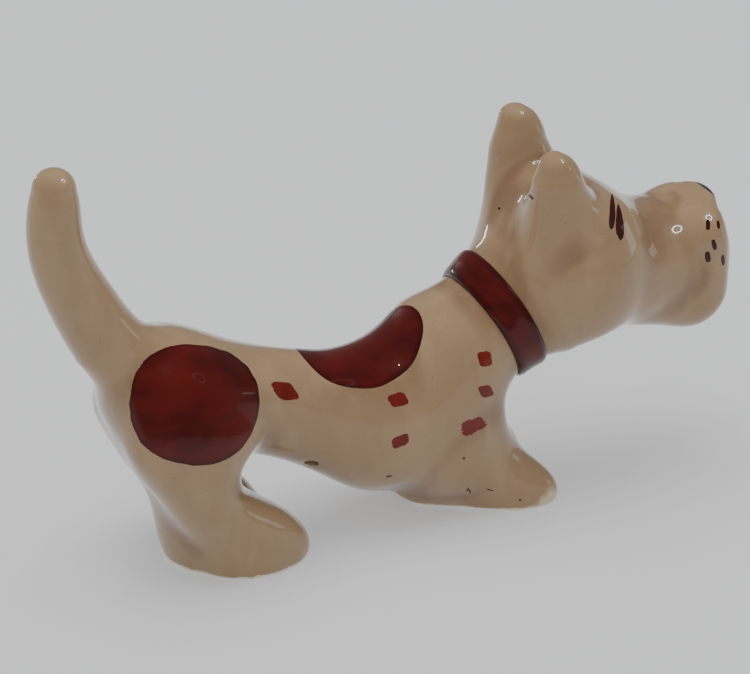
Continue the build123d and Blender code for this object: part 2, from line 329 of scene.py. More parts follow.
# --- mesh helpers ---------------------------------------------------------------------------------
def add_piece(name, mesh, slot, material, *replaced):
    """Puts a finished mesh in the scene, riding on the figurine's body."""
    mesh.materials.clear()
    mesh.materials.append(material)
    piece = bpy.data.objects.new(name, mesh)
    bpy.context.scene.collection.objects.link(piece)
    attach(piece, "root")
    if replaced:
        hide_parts(*replaced)


def to_mesh(form, name):
    """Mesh of a bmesh, smooth-shaded; the bmesh is freed."""
    mesh = bpy.data.meshes.new(name)
    for face in form.faces:
        face.smooth = True
    form.to_mesh(mesh)
    form.free()
    return mesh


def applied(mesh, name, kind, **settings):
    """Mesh with one modifier applied."""
    holder = bpy.data.objects.new(name, mesh)
    bpy.context.scene.collection.objects.link(holder)
    modifier = holder.modifiers.new(name, kind)
    for key, value in settings.items():
        setattr(modifier, key, value)
    seen = holder.evaluated_get(bpy.context.evaluated_depsgraph_get())
    made = bpy.data.meshes.new_from_object(seen)
    bpy.data.objects.remove(holder)
    return made


class Skin:
    """The whole clay skin, for finding points and normals on it."""

    def __init__(self, mesh):
        self.mesh = mesh
        self.form = bmesh.new()
        self.form.from_mesh(mesh)
        bmesh.ops.triangulate(self.form, faces=self.form.faces)
        self.form.faces.ensure_lookup_table()
        self.form.normal_update()
        self.tree = BVHTree.FromBMesh(self.form)

    def nearest(self, point):
        """Nearest point of the skin, and its smooth normal."""
        spot, _, index, _ = self.tree.find_nearest(point)
        return spot, self._normal(spot, index)

    def cast(self, origin, direction):
        """First point hit from an origin, and its smooth normal, or None."""
        spot, _, index, _ = self.tree.ray_cast(origin, direction)
        if spot is None:
            return None
        return spot, self._normal(spot, index)

    def _normal(self, spot, index):
        corners = self.form.faces[index].verts
        a, b, c = (v.co for v in corners)
        whole = (b - a).cross(c - a)
        area = max(whole.length_squared, 1e-20)
        near_a = (b - spot).cross(c - spot).dot(whole) / area
        near_b = (c - spot).cross(a - spot).dot(whole) / area
        parts = (near_a, near_b, 1.0 - near_a - near_b)
        return sum((v.normal * p for v, p in zip(corners, parts)), Vector()).normalized()


# Least cosine between a face and the skin for the face to lie along it.
ALONG_SKIN = 0.55


def take_normals(mesh, skin):
    """Outer faces take the skin's normals, so that no seam shows; hidden faces keep their own."""
    on_skin = [skin.nearest(v.co)[1] for v in mesh.vertices]
    normals = [Vector()] * len(mesh.loops)
    for polygon in mesh.polygons:
        for index in polygon.loop_indices:
            normal = on_skin[mesh.loops[index].vertex_index]
            normals[index] = normal if polygon.normal.dot(normal) > ALONG_SKIN else polygon.normal.copy()
    mesh.normals_split_custom_set(normals)


# --- clay skin ------------------------------------------------------------------------------------
# Lumps of clay worked into the castings: middle and half sizes in millimetres, turn about Y in degrees,
# and "both" where the other side has one too.
LUMPS = [
    ((-27.0, 0.0, 24.6), (3.0, 10.6, 2.6), 0, "one"),         # closes the vent, which is bored again later
    ((39.5, 0.0, 53.4), (9.5, 20.4, 20.4), -27, "one"),       # root of the neck behind the jowls
    ((42.8, 0.0, 71.0), (10.4, 16.0, 13.2), 0, "one"),        # nape between the ears
    ((39.0, 8.8, 65.0), (9.0, 9.6, 14.0), 0, "both"),         # behind each ear
    ((48.0, 11.0, 71.0), (11.5, 9.0, 10.5), 0, "both"),       # outer side of each ear
    ((54.0, 8.5, 71.0), (11.0, 9.5, 9.5), 0, "both"),         # front of each ear
    ((42.3, 11.8, 81.0), (8.4, 6.5, 13.2), 0, "both"),        # ears below their tips
    ((42.0, 11.8, 85.0), (8.0, 6.4, 13.4), 0, "one"),         # far side of the left ear
    ((65.0, 0.0, 55.6), (14.0, 18.6, 16.9), 0, "one"),        # root of the muzzle
    ((73.0, 0.0, 55.3), (13.5, 16.8, 16.4), 0, "one"),        # middle of the muzzle
    ((64.0, 0.0, 65.0), (12.0, 12.5, 8.4), 0, "one"),         # bridge of the muzzle
    ((88.3, 0.0, 69.0), (5.2, 8.0, 3.9), 0, "one"),           # tip of the nose
    ((15.0, 7.0, 12.0), (18.0, 8.6, 13.5), 0, "both"),        # foot of the chest
    ((14.0, 9.3, 18.0), (14.0, 9.6, 16.0), 0, "both"),        # shoulders over the front legs
    ((-55.5, 0.0, 14.0), (9.0, 15.0, 22.0), 0, "one"),        # between the hind legs
    ((-67.0, 0.0, 38.0), (9.0, 16.0, 14.0), 0, "one"),        # back of the rump
    ((-66.0, 0.0, 56.0), (9.0, 10.5, 8.5), 35, "one"),        # root of the tail
]


def on_side(vector, side):
    """A vector given for the left side, on a side."""
    return (vector[0], vector[1] * side, vector[2])


def lump_places(middle, half_sizes, turn, sides):
    """Place and size of a lump on each of its sides."""
    for side in SIDES[sides]:
        yield (
            Matrix.Translation(mm(*on_side(middle, side)))
            @ Matrix.Rotation(radians(turn), 4, "Y")
            @ Matrix.Diagonal((*(s * MM for s in half_sizes), 1.0))
        )


def raw_clay():
    """Merged copies of the castings, and the lumps, as one mesh."""
    clay = bmesh.new()
    for name in CASTINGS:
        casting = bmesh.new()
        casting.from_mesh(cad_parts[name].data)
        bmesh.ops.remove_doubles(casting, verts=casting.verts, dist=1e-6)
        copy = to_mesh(casting, name + "_copy")
        clay.from_mesh(copy)
        bpy.data.meshes.remove(copy)
    for lump in LUMPS:
        for place in lump_places(*lump):
            bmesh.ops.create_icosphere(clay, subdivisions=4, radius=1.0, matrix=place)
    return to_mesh(clay, "raw_clay")


def largest_shell(mesh):
    """The outer shell of a mesh; the shells of the hollows are left out."""
    form = bmesh.new()
    form.from_mesh(mesh)
    unseen = set(form.verts)
    shells = []
    while unseen:
        start = unseen.pop()
        shell, front = [start], [start]
        while front:
            vert = front.pop()
            for edge in vert.link_edges:
                other = edge.other_vert(vert)
                if other in unseen:
                    unseen.remove(other)
                    shell.append(other)
                    front.append(other)
        shells.append(shell)
    shells.sort(key=len)
    for shell in shells[:-1]:
        bmesh.ops.delete(form, geom=shell, context="VERTS")
    return to_mesh(form, "clay_skin")


# Smoothed bend of the skin, as a height over its neighbours, that counts as fully hollow.
FULL_BEND = 0.012 * MM


class Fairing:
    """Moves the points of a mesh of even cells, the way a wet thumb smooths clay."""

    def __init__(self, mesh):
        self.mesh = mesh
        self.count = len(mesh.vertices)
        flat = np.empty(self.count * 3)
        mesh.vertices.foreach_get("co", flat)
        self.points = flat.reshape(-1, 3)
        ends = np.empty(len(mesh.edges) * 2, np.int32)
        mesh.edges.foreach_get("vertices", ends)
        self.start, self.end = ends.reshape(-1, 2).T
        self.links = np.bincount(ends, minlength=self.count)
        self.faces = np.array([tuple(p.vertices) for p in mesh.polygons if len(p.vertices) == 4])

    def mean(self, values):
        """Mean of each point's neighbours."""
        total = [
            np.bincount(self.start, values[self.end, k], self.count)
            + np.bincount(self.end, values[self.start, k], self.count)
            for k in range(values.shape[1])
        ]
        return np.stack(total, 1) / self.links[:, None]

    def normals(self):
        """Outward normal at each point."""
        corner = self.points[self.faces]
        across = np.cross(corner[:, 2] - corner[:, 0], corner[:, 3] - corner[:, 1])
        total = np.zeros((self.count, 3))
        for k in range(4):
            for axis in range(3):
                total[:, axis] += np.bincount(self.faces[:, k], across[:, axis], self.count)
        return total / np.maximum(np.linalg.norm(total, axis=1), 1e-12)[:, None]

    def fill_creases(self, passes, pull=0.5):
        """Raises only the points that lie lower than their neighbours."""
        for _ in range(passes):
            out = self.normals()
            lack = ((self.mean(self.points) - self.points) * out).sum(1)
            lift = pull * np.maximum(lack, 0.0)
            self.points += out * lift[:, None]

    def smooth(self, passes):
        """Smooths without shrinking: a step in and a slightly longer step out."""
        for _ in range(passes):
            self.points += 0.50 * (self.mean(self.points) - self.points)
            self.points -= 0.52 * (self.mean(self.points) - self.points)

    def soften(self, passes, where):
        """Smooths freely where the weight is high."""
        for _ in range(passes):
            self.points += 0.5 * where[:, None] * (self.mean(self.points) - self.points)

    def near(self, middle, reach):
        """Weight of 1 at a point given in millimetres, falling to 0 at a reach in millimetres."""
        gap = np.linalg.norm(self.points - np.array(middle) * MM, axis=1) / (reach * MM)
        return np.clip(1.0 - gap, 0.0, 1.0) ** 0.5

    def push(self, middle, reach, by):
        """Moves the clay near a point by a vector in millimetres."""
        gap = np.linalg.norm((self.points - np.array(middle) * MM) / (np.array(reach) * MM), axis=1)
        self.points += np.exp(-gap * gap)[:, None] * np.array(by) * MM

    def hollowness(self, passes):
        """How hollow each place is, smoothed: 0.5 on the flat, more in creases, less on ridges."""
        bend = ((self.mean(self.points) - self.points) * self.normals()).sum(1)[:, None]
        for _ in range(passes):
            bend = 0.5 * bend + 0.5 * self.mean(bend)
        return np.clip(0.5 + bend[:, 0] / FULL_BEND, 0.0, 1.0)

    def finish(self):
        """Writes the points back; nothing goes below the floor."""
        self.points[:, 2] = np.maximum(self.points[:, 2], 0.0)
        self.mesh.vertices.foreach_set("co", self.points.ravel())
        self.mesh.update()


# Thumb strokes: middle, reach and way in millimetres, and "both" where the other side has one too.
PUSHES = [
    ((80.0, 0.0, 72.0), (7.0, 12.0, 5.0), (0.0, 0.0, -0.8), "one"),       # top of the muzzle
    ((95.0, 0.0, 64.0), (5.0, 16.0, 4.5), (-1.4, 0.0, 0.0), "one"),       # front of the muzzle
    ((92.0, 0.0, 37.0), (8.0, 22.0, 7.0), (-1.6, 0.0, 1.4), "one"),       # chin
    ((55.5, 0.0, 37.5), (9.5, 24.0, 7.0), (-1.0, 0.0, 4.0), "one"),       # under the jowls
    ((46.0, -12.0, 87.0), (14.0, 8.0, 14.0), (-3.2, 0.0, 0.0), "one"),    # right ear, leaning back
    ((-76.0, 13.0, 29.0), (8.0, 9.0, 13.0), (1.4, -0.5, 0.0), "one"),     # back of the left haunch
    ((-29.0, 16.0, 8.0), (10.0, 11.0, 13.0), (-4.5, 0.0, -1.0), "one"),   # left hind toe
    ((14.0, 0.0, 57.0), (10.0, 14.0, 8.0), (0.0, 0.0, -1.0), "one"),      # hollow of the back
    ((-77.0, 9.0, 38.0), (6.0, 8.0, 11.0), (2.0, 0.0, 0.0), "both"),      # back of the haunches
    ((-1.0, 13.0, 1.0), (15.0, 8.0, 9.0), (0.0, -7.0, 0.0), "both"),      # heels of the front feet
]
# Places rubbed smooth: middle and reach in millimetres, passes, and "both" where the other side has
# one too.
SOFT_PLACES = [
    ((-27.0, -8.0, 23.5), 7.0, 20, "both"),
    ((-68.0, 0.0, 56.0), 20.0, 25, "one"),
    ((-61.0, 16.0, 36.0), 18.0, 25, "both"),
    ((-46.0, 12.0, 38.0), 12.0, 20, "both"),
    ((14.0, 15.0, 28.0), 20.0, 30, "both"),
    ((44.0, 10.0, 76.0), 14.0, 20, "both"),
    ((38.0, 0.0, 66.0), 16.0, 25, "one"),
    ((67.0, 15.0, 53.0), 18.0, 70, "both"),
    ((67.0, 0.0, 40.0), 12.0, 20, "one"),
    ((50.0, 14.0, 76.0), 13.0, 25, "both"),
    ((-70.0, 0.0, 38.0), 18.0, 30, "one"),
    ((-57.0, 12.0, 9.0), 14.0, 35, "both"),
    ((90.0, 0.0, 66.0), 10.0, 18, "one"),
    ((37.0, 12.0, 88.0), 9.0, 40, "one"),
    ((60.0, 9.0, 71.0), 15.0, 110, "both"),
    ((37.0, 9.0, 74.0), 14.0, 110, "both"),
    ((-64.0, 0.0, 16.0), 14.0, 30, "one"),
    ((63.0, 0.0, 71.0), 13.0, 120, "one"),
    ((-75.0, 0.0, 40.0), 20.0, 120, "one"),
    ((-66.0, 0.0, 22.0), 15.0, 80, "one"),
    ((-62.0, 8.0, 58.0), 12.0, 40, "both"),
    ((43.0, 0.0, 79.0), 11.0, 30, "one"),
    ((14.0, 16.0, 12.0), 17.0, 50, "both"),
    ((-62.0, 8.0, 22.0), 16.0, 30, "both"),
]
FIRST_SMOOTHING = 4       # passes that take off the steps of the cells
POOLING_PASSES = 60       # passes that spread the pooling of the glaze


def clay_skin():
    """One closed skin round the castings, faired over their joints."""
    sizes = bpy.context.scene.clay_sizes
    rough = applied(raw_clay(), "clay", "REMESH", mode="VOXEL", voxel_size=sizes.cell, adaptivity=0.0)
    mesh = largest_shell(rough)
    fairing = Fairing(mesh)
    fairing.smooth(FIRST_SMOOTHING)
    fairing.fill_creases(sizes.filling)
    for middle, reach, by, sides in PUSHES:
        for side in SIDES[sides]:
            fairing.push(on_side(middle, side), reach, on_side(by, side))
    for middle, reach, passes, sides in SOFT_PLACES:
        for side in SIDES[sides]:
            fairing.soften(passes, fairing.near(on_side(middle, side), reach))
    fairing.fill_creases(sizes.filling // 2)
    fairing.smooth(sizes.smoothing)
    hollow = fairing.hollowness(POOLING_PASSES)
    fairing.finish()
    pooling = mesh.attributes.new("pooling", "FLOAT", "POINT")
    pooling.data.foreach_set("value", hollow.astype(np.float32))
    return mesh


# --- castings -------------------------------------------------------------------------------------
UP = Vector((0, 0, 1))
# Joints between castings: a point of each in millimetres and the way to the piece that is parted off.
EAR_JOINT = Vector((0, 0, 82.5)), UP
TAIL_JOINT = Vector((-76, 0, 63.5)), Vector((-0.588, 0, 0.809))
HIND_JOINT = Vector((-44, 0, 28.5)), Vector((-0.45, 0, -0.893))
FRONT_JOINT = Vector((0, 0, 12)), -UP
MIDDLE_JOINT = Vector(), Vector((0, -1, 0))
# X between the hind legs and the front legs, in millimetres.
BELLY_X = -26
# Vent hole: its middle in millimetres and the way it was poked.
VENT_MIDDLE = (-26.4, -8.4, 22.3)
VENT_WAY = Vector((0.1, 0.62, 0.78))


def close_cuts(form):
    """Closes the open ends left by cutting."""
    edges = [e for e in form.edges if e.is_boundary]
    made = bmesh.ops.holes_fill(form, edges=edges, sides=0)["faces"]
    bmesh.ops.triangulate(form, faces=made)


def part_off(form, point, normal, within):
    """Cuts a form along a plane, where within holds, and returns what lies beyond it as a new form."""
    picked = [f for f in form.faces if within(f.calc_center_median() / MM)]
    edges = {e for f in picked for e in f.edges}
    verts = {v for f in picked for v in f.verts}
    bmesh.ops.bisect_plane(
        form, geom=[*picked, *edges, *verts], dist=1e-8, plane_co=point * MM, plane_no=normal)
    form.faces.index_update()
    beyond = set()
    for face in form.faces:
        centre = face.calc_center_median() / MM
        if within(centre) and (centre - point).dot(normal) > 0.0:
            beyond.add(face.index)
    piece = form.copy()
    bmesh.ops.delete(piece, geom=[f for f in piece.faces if f.index not in beyond], context="FACES")
    bmesh.ops.delete(form, geom=[f for f in form.faces if f.index in beyond], context="FACES")
    close_cuts(piece)
    close_cuts(form)
    return piece


def halves(form):
    """A form cut in two at the middle plane: its left half and its right half."""
    right = part_off(form, *MIDDLE_JOINT, lambda c: True)
    return form, right


def bored(mesh):
    """Torso with its vent hole."""
    sizes = bpy.context.scene.clay_sizes
    drill = bmesh.new()
    lean = VENT_WAY.to_track_quat("Z", "Y").to_matrix().to_4x4()
    place = Matrix.Translation(mm(*VENT_MIDDLE)) @ lean
    bmesh.ops.create_cone(
        drill, cap_ends=True, segments=40, radius1=sizes.vent_radius, radius2=sizes.vent_radius,
        depth=2 * sizes.vent_depth, matrix=place)
    cutter = bpy.data.objects.new("vent_drill", to_mesh(drill, "vent_drill"))
    bpy.context.scene.collection.objects.link(cutter)
    made = applied(mesh, "vent", "BOOLEAN", operation="DIFFERENCE", solver="EXACT", object=cutter)
    bpy.data.objects.remove(cutter)
    return made


def build_castings():
    """Parts the skin into its castings, each replacing its plain one."""
    # Each cut is made only where its test holds, with places in millimetres.
    skin = shared["skin"]
    glaze = shared["glaze"]
    body = bmesh.new()
    body.from_mesh(skin.mesh)
    head = part_off(body, NECK, NECK_AXIS, lambda c: c.z > 35 and c.x > 5)
    ears = part_off(head, *EAR_JOINT, lambda c: c.z > 60)
    tail = part_off(body, *TAIL_JOINT, lambda c: c.x < -60 and c.z > 50)
    hind = part_off(body, *HIND_JOINT, lambda c: c.x < BELLY_X)
    front = part_off(body, *FRONT_JOINT, lambda c: c.x > BELLY_X)
    left_ear, right_ear = halves(ears)
    left_hind, right_hind = halves(hind)
    left_front, right_front = halves(front)
    forms = {
        "head": head, "tail": tail, "left_ear": left_ear, "right_ear": right_ear,
        "left_hind_leg": left_hind, "right_hind_leg": right_hind,
        "left_front_leg": left_front, "right_front_leg": right_front, "torso": body,
    }
    for name, form in forms.items():
        mesh = to_mesh(form, "glazed_" + name)
        if name == "torso":
            mesh = bored(mesh)
        take_normals(mesh, skin)
        add_piece("glazed_" + name, mesh, "glazed_body", glaze, name)


# --- painted marks --------------------------------------------------------------------------------
# Way the brush comes from on the left side, and the level way across it.
BRUSH_WAY = Vector((-0.4027, 0.8078, 0.4305))
BRUSH_ALONG = Vector((0.8949, 0.4462, 0.0))
# How far above the skin the search for it starts, in metres.
MARK_CLEAR = 0.03
SADDLE_CLEAR = 0.05
# Part of the way to its border where a mark starts to sink into the clay.
MARK_RIM = 0.93
SADDLE_RIM = 0.95


class Mark:
    """A brushed mark on the left side: middle in millimetres, half sizes, turn in degrees and outline.

    The outline is squarer with a larger square, leans with shear, and with taper it is wider at its end.
    """

    def __init__(self, middle, half_sizes, turn=0.0, square=3.2, shear=0.0, taper=0.0, ragged=0.05,
                 seed=0.0, cells=16, outward=BRUSH_WAY, along=BRUSH_ALONG):
        self.outward = Vector(outward).normalized()
        along = Vector(along)
        self.along = (along - self.outward * along.dot(self.outward)).normalized()
        self.across = self.outward.cross(self.along)
        self.middle = Vector(middle)
        self.half_sizes = half_sizes
        self.turn = radians(turn)
        self.square = square
        self.shear = shear
        self.taper = taper
        self.ragged = ragged
        self.seed = seed
        self.cells = cells

    def reach(self, angle):
        """How far the border lies from the middle at an angle, for half sizes of 1."""
        c, s = abs(cos(angle)), abs(sin(angle))
        border = (c ** self.square + s ** self.square) ** (-1.0 / self.square)
        waver = noise.noise(Vector((1.3 * cos(angle), 1.3 * sin(angle), self.seed)))
        fringe = noise.noise(Vector((5.5 * cos(angle), 5.5 * sin(angle), self.seed + 9.0)))
        return border * (1.0 + 2.0 * self.ragged * waver + 1.4 * self.ragged * fringe)

    def spot(self, u, v, side):
        """Point for a place on the unit disc, on one side of the dog, and how near the border it is."""
        part = min(1.0, sqrt(u * u + v * v))
        angle = atan2(v, u)
        reach = part * self.reach(angle)
        x = reach * cos(angle)
        y = reach * sin(angle) * (1.0 + self.taper * x)
        x = (x * self.half_sizes[0]) + self.shear * y * self.half_sizes[1]
        y = y * self.half_sizes[1]
        x, y = x * cos(self.turn) - y * sin(self.turn), x * sin(self.turn) + y * cos(self.turn)
        point = self.middle + self.along * x + self.across * y
        return Vector((point.x, point.y * side, point.z)) * MM, part


def lay_point(vert, hit, part, rim, edge):
    """Lays one point of a mark on the skin; past the rim it sinks in, so that the border closes."""
    if hit is None:
        raise RuntimeError("a painted mark misses the clay")
    on_clay, normal = hit
    lift = bpy.context.scene.paint_sizes.lift
    sink = max(0.0, (part - rim) / (1.0 - rim)) ** 2
    vert.co = on_clay + normal * (lift - 2.0 * lift * sink)
    vert[edge] = part


def lay_mark(layer, mark, side):
    """Lays one mark on the skin as a fine grid drawn to its border."""
    skin = shared["skin"]
    edge = layer.verts.layers.float["edge"]
    outward = Vector(on_side(mark.outward, side))
    made = bmesh.ops.create_grid(layer, x_segments=mark.cells, y_segments=mark.cells, size=1.0)["verts"]
    for vert in made:
        point, part = mark.spot(*on_disc(vert), side)
        lay_point(vert, skin.cast(point + outward * MARK_CLEAR, -outward), part, MARK_RIM, edge)


def on_disc(vert):
    """Place on the unit disc of a vertex of a square grid that is 2 wide."""
    u, v = vert.co.x, vert.co.y
    return u * sqrt(1 - v * v / 2), v * sqrt(1 - u * u / 2)


def new_layer():
    """Empty form for paint, with the value that says how near the border each point is."""
    layer = bmesh.new()
    layer.verts.layers.float.new("edge")
    return layer


def add_layer(layer, name, slot, material, *replaced):
    """Thickens a layer of paint that lies on the skin and adds it as a piece."""
    skin = shared["skin"]
    for face in layer.faces:
        face.normal_update()
        if face.normal.dot(skin.nearest(face.calc_center_median())[1]) < 0.0:
            face.normal_flip()
    bmesh.ops.solidify(layer, geom=layer.faces[:], thickness=bpy.context.scene.paint_sizes.thickness)
    mesh = to_mesh(layer, name)
    take_normals(mesh, skin)
    add_piece(name, mesh, slot, material, *replaced)


def painted(name, marks, side, slot, material, *replaced):
    """One painted piece made of marks on one side."""
    layer = new_layer()
    for mark in marks:
        lay_mark(layer, mark, side)
    add_layer(layer, name, slot, material, *replaced)


HAUNCH_PATCH = Mark(
    (-61.8, 18.7, 50.9), (15.4, 14.5), turn=12, square=2.25, ragged=0.012, seed=1.0, cells=72)
FLANK = Mark((-34.8, 11.8, 45.5), (2.75, 2.3), turn=2, shear=0.55, seed=2.0)
SHOULDERS = [
    Mark((-5.5, 14.8, 37.8), (2.35, 1.8), turn=-16, shear=0.25, seed=3.0),
    Mark((-6.2, 17.4, 27.7), (2.35, 1.45), turn=-24, shear=-0.25, seed=4.0),
]
CHEST = [
    Mark((18.0, 16.2, 44.6), (1.85, 2.0), turn=-8, shear=0.1, seed=5.0),
    Mark((17.9, 17.3, 36.1), (1.8, 1.6), turn=-14, shear=0.25, seed=6.0),
    Mark((14.0, 18.0, 27.5), (3.2, 1.95), turn=-22, shear=0.2, ragged=0.13, seed=7.0, cells=30),
]
WHISKERS = [
    Mark((84.3, 13.0, 67.0), (1.45, 0.62), turn=92, square=2.5, seed=11.0),
    Mark((87.4, 13.1, 66.5), (1.15, 0.46), turn=84, square=2.5, seed=12.0),
    Mark((85.2, 15.0, 62.0), (1.50, 0.66), turn=72, square=2.3, seed=13.0),
    Mark((83.4, 15.1, 59.0), (1.45, 0.82), turn=80, square=2.5, seed=14.0),
    Mark((88.4, 14.7, 57.0), (1.40, 0.56), turn=82, square=2.4, seed=15.0),
]
BROW = Mark(
    (55.6, 12.2, 75.8), (4.9, 0.80), turn=95, square=2.2, taper=0.40, ragged=0.06, seed=21.0, cells=26)
EYE = Mark(
    (56.45, 14.7, 73.9), (4.9, 1.02), turn=88, square=2.1, taper=0.50, ragged=0.06, seed=22.0, cells=26)
NOSE = Mark(
    (89.6, -0.4, 67.9), (4.6, 3.2), square=2.3, ragged=0.03, seed=23.0, cells=28,
    outward=(0.66, 0.0, 0.75), along=(0.0, 1.0, 0.0))
# Patch over the back: middle on the ridge in millimetres, half length, tilt of the ridge, how far it
# hangs down each side, the depth of the line it is wrapped round, and how uneven its border is.
SADDLE_MIDDLE = (-6.8, 50.8)
SADDLE_HALF_LENGTH = 16.7
SADDLE_TILT = radians(13.0)
SADDLE_DROP = radians(80.0)
SADDLE_DEPTH = 12.0
SADDLE_WAVER = 0.05
SADDLE_SEED = 31.0
SADDLE_CELLS = (70, 110)


def build_patches():
    """Haunch patches and spots of both sides."""
    bright = shared["bright"]
    for side, name in ((LEFT, "left"), (RIGHT, "right")):
        for part, marks, paint, node in (
                ("haunch", [HAUNCH_PATCH], shared["red"], "haunch_patch"),
                ("flank", [FLANK], bright, "flank_spot"),
                ("shoulder", SHOULDERS, bright, "shoulder_spots"),
                ("chest", CHEST, bright, "chest_spots")):
            painted("painted_%s_%s" % (name, part), marks, side, "red_brown_paint", paint,
                    "%s_%s" % (name, node))


def build_saddle():
    """Patch laid over the back, hanging the same way down each side."""
    skin = shared["skin"]
    middle_x, middle_z = SADDLE_MIDDLE
    lean_x, lean_z = cos(SADDLE_TILT), sin(SADDLE_TILT)
    layer = new_layer()
    edge = layer.verts.layers.float["edge"]
    made = bmesh.ops.create_grid(
        layer, x_segments=SADDLE_CELLS[0], y_segments=SADDLE_CELLS[1], size=1.0)["verts"]
    for vert in made:
        x, y = on_disc(vert)
        part = min(1.0, sqrt(x * x + y * y))
        reach = 1.0 + SADDLE_WAVER * noise.noise(Vector((1.6 * x, 1.6 * y, SADDLE_SEED)))
        along = SADDLE_HALF_LENGTH * x * reach
        drop = SADDLE_DROP * y * reach
        centre = mm(middle_x + along * lean_x, 0, middle_z - SADDLE_DEPTH + along * lean_z)
        way = Vector((-lean_z * cos(drop), sin(drop), lean_x * cos(drop))).normalized()
        lay_point(vert, skin.cast(centre + way * SADDLE_CLEAR, -way), part, SADDLE_RIM, edge)
    add_layer(layer, "painted_saddle", "red_brown_paint", shared["red"], "saddle_patch")


def build_face():
    """Brows, eyes, whisker dots and nose."""
    for side, name in ((LEFT, "left"), (RIGHT, "right")):
        for part, marks, node in (
                ("brow", [BROW], "brow"), ("eye", [EYE], "eye"), ("whiskers", WHISKERS, "whisker_dots")):
            painted("painted_%s_%s" % (name, part), marks, side, "dark_line_paint", shared["line"],
                    "%s_%s" % (name, node))
    painted("painted_nose", [NOSE], LEFT, "blue_black_paint", shared["nose"], "nose_patch")


FLECKS = [
    Mark((11.5, 18.0, 19.0), (0.35, 0.3), seed=51.0, cells=8),
    Mark((14.8, 15.4, 7.5), (0.55, 0.22), turn=70, ragged=0.2, seed=52.0, cells=10),
    Mark((14.2, 15.2, 8.0), (0.60, 0.20), turn=115, ragged=0.2, seed=53.0, cells=10),
    Mark((19.5, 17.5, 7.7), (0.90, 0.16), turn=15, ragged=0.2, seed=54.0, cells=10),
    Mark((-8.0, 14.8, 17.0), (0.70, 0.25), turn=-15, ragged=0.2, seed=55.0, cells=10),
    Mark((27.7, 18.7, 3.4), (0.35, 0.25), seed=56.0, cells=8),
    Mark((37.9, 1.1, 78.3), (0.90, 0.30), turn=50, ragged=0.1, seed=57.0, cells=10),
    Mark((33.2, -5.4, 74.1), (0.35, 0.35), seed=58.0, cells=8),
]


def build_flecks():
    """Stray flecks of paint left by the brush on the right side."""
    painted("painted_flecks", FLECKS, RIGHT, "dark_line_paint", shared["line"])


# Collar: cells round and along it, unevenness of its edges in millimetres, and how far its edges
# sink into the neck.
COLLAR_CELLS = (180, 24)
COLLAR_WAVER = 0.25
COLLAR_SINK = 0.25 * MM
COLLAR_SEED = 41.0


def build_collar():
    """Raised band round the neck, with soft edges."""
    skin = shared["skin"]
    sizes = bpy.context.scene.paint_sizes
    band = bmesh.new()
    edge = band.verts.layers.float.new("edge")
    bmesh.ops.create_cone(
        band, cap_ends=False, segments=COLLAR_CELLS[0], radius1=1.0, radius2=1.0, depth=2.0)
    upright = [e for e in band.edges if abs(e.verts[0].co.z - e.verts[1].co.z) > 1.0]
    bmesh.ops.subdivide_edges(band, edges=upright, cuts=COLLAR_CELLS[1] - 1, use_grid_fill=True)
    side = Vector((0, 1, 0))
    top = NECK_AXIS.cross(side)
    for vert in band.verts:
        angle = atan2(vert.co.y, vert.co.x)
        station = vert.co.z
        way = side * cos(angle) + top * sin(angle)
        waver = COLLAR_WAVER * noise.noise(Vector((1.2 * cos(angle), 1.2 * sin(angle), COLLAR_SEED)))
        middle = NECK * MM + NECK_AXIS * (station * sizes.collar_width / 2 + waver * MM)
        hit = skin.cast(middle, way)
        if hit is None:
            raise RuntimeError("the collar misses the neck")
        swell = (1.0 - abs(station) ** 5) * sizes.collar_raise - COLLAR_SINK * abs(station) ** 12
        vert.co = hit[0] + way * swell
        vert[edge] = 0.78 + 0.22 * abs(station)
    bmesh.ops.recalc_face_normals(band, faces=band.faces[:])
    bmesh.ops.solidify(band, geom=band.faces[:], thickness=2.0 * sizes.collar_raise)
    add_piece("painted_collar", to_mesh(band, "painted_collar"), "red_brown_paint", shared["red"], "collar")


# --- stage ----------------------------------------------------------------------------------------
def plain_finish(name, tint, roughness, glow=0.0):
    """Plain material of the floor or a lamp."""
    finish = Finish(name)
    finish.set(Base_Color=(*tint, 1.0), Roughness=roughness)
    if glow:
        finish.set(Emission_Color=(1.0, 1.0, 1.0, 1.0), Emission_Strength=glow)
    return finish.material


# Stage: lamps as size and place, and mirrored windows as size and way from the target, all in metres.
# The camera's sensor and lens are in millimetres.
FLOOR_HALF_SIZE = 30.0
TARGET = mm(-4.5, 0, 48.5)
CAMERA_WAY = Vector((-0.40267, -0.80776, 0.43051))
CAMERA_DISTANCE = 0.700
SENSOR_WIDTH = 36.0
FOCAL_LENGTH = 134.4
OVERHEAD = (0.9, 0.9), Vector((-0.1, 0.15, 1.1))
WINDOW = (0.5, 0.5), Vector((-0.3, -1.0, 0.9))
SPARK = (0.022, 0.022), Vector((-0.15, -0.2, 1.0))
FAR_WINDOW = (0.16, 0.03), Vector((-0.22, 0.97, 0.10))
SIDE_WINDOW = (0.20, 0.16), Vector((0.98, -0.22, 0.12))
RING_WAY = Vector((0.50, -0.36, 0.79)).normalized()
RING_RADIUS = 0.150
RING_BAND = 0.045
RING_MIRRORED_IN = ("glazed_head", "glazed_left_ear", "glazed_right_ear", "glazed_tail")
AIR_TINT = (0.97, 0.98, 1.0, 1.0)


def add_lamp(name, watts, size, place):
    """Area lamp that faces the figurine; the glaze doesn't mirror it."""
    lamp = bpy.data.lights.new(name, "AREA")
    lamp.shape = "RECTANGLE"
    lamp.size, lamp.size_y = size
    lamp.energy = watts
    holder = bpy.data.objects.new(name, lamp)
    holder.location = place
    holder.rotation_euler = (TARGET - place).to_track_quat("-Z", "Y").to_euler()
    holder.visible_glossy = False
    bpy.context.scene.collection.objects.link(holder)
    return holder


